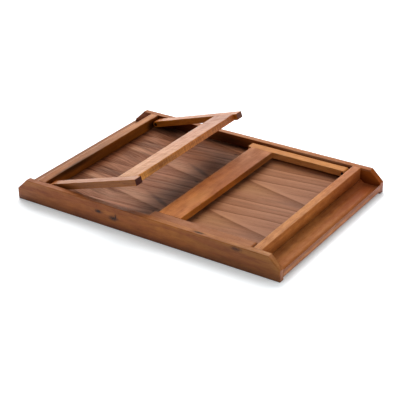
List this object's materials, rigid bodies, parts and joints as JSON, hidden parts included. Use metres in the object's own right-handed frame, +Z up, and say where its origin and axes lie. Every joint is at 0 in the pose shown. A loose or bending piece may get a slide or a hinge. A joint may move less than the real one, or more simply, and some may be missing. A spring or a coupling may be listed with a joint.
{
  "type": "folding bed tray table",
  "caption": "Shallow framed wooden tray table lying underside up: hinged leg frames fold flat into a recess behind its panel, and a moulded cove at each end is the grip.",
  "frame": {"origin": "middle of the length and width, at the rim of the tray that meets the surface it lies on", "axes": "+X along the length towards the folded leg frame, +Y across the width, +Z up, from the rim to the underside of the table"},
  "size_m": [0.55, 0.37, 0.0984],
  "materials": {
    "wood_rail": "satin oiled",
    "wood_end": "satin oiled",
    "wood_panel": "satin veneer",
    "wood_leg": "satin oiled",
    "wood_dowel": "unfinished",
    "dark_steel": "blackened"
  },
  "bodies": {
    "tray": {"side_rail_near": "wood_rail", "side_rail_far": "wood_rail", "end_rail_left": "wood_end", "end_rail_right": "wood_end", "tray_panel": "wood_panel", "rail_dowels_left": "wood_dowel", "rail_dowels_right": "wood_dowel", "left_pivot_near": "dark_steel", "left_pivot_far": "dark_steel", "right_pivot_near": "dark_steel", "right_pivot_far": "dark_steel", "left_spacer_near": "dark_steel", "left_spacer_far": "dark_steel", "right_spacer_near": "dark_steel", "right_spacer_far": "dark_steel"},
    "left_leg": {"left_arm_near": "wood_leg", "left_arm_far": "wood_leg", "left_crossbar": "wood_leg", "left_leg_dowels": "wood_dowel"},
    "right_leg": {"right_arm_near": "wood_leg", "right_arm_far": "wood_leg", "right_crossbar": "wood_leg", "right_leg_dowels": "wood_dowel"}
  },
  "joints": [
    {"name": "left_leg_fold", "type": "hinge", "parent": "tray", "child": "left_leg", "pos_m": [-0.2085, 0, 0.0325], "axis": [0, -1, 0], "range_deg": [-18.7, 89.5]},
    {"name": "right_leg_fold", "type": "hinge", "parent": "tray", "child": "right_leg", "pos_m": [0.2085, 0, 0.0325], "axis": [0, 1, 0], "range_deg": [-1.2, 107]}
  ]
}
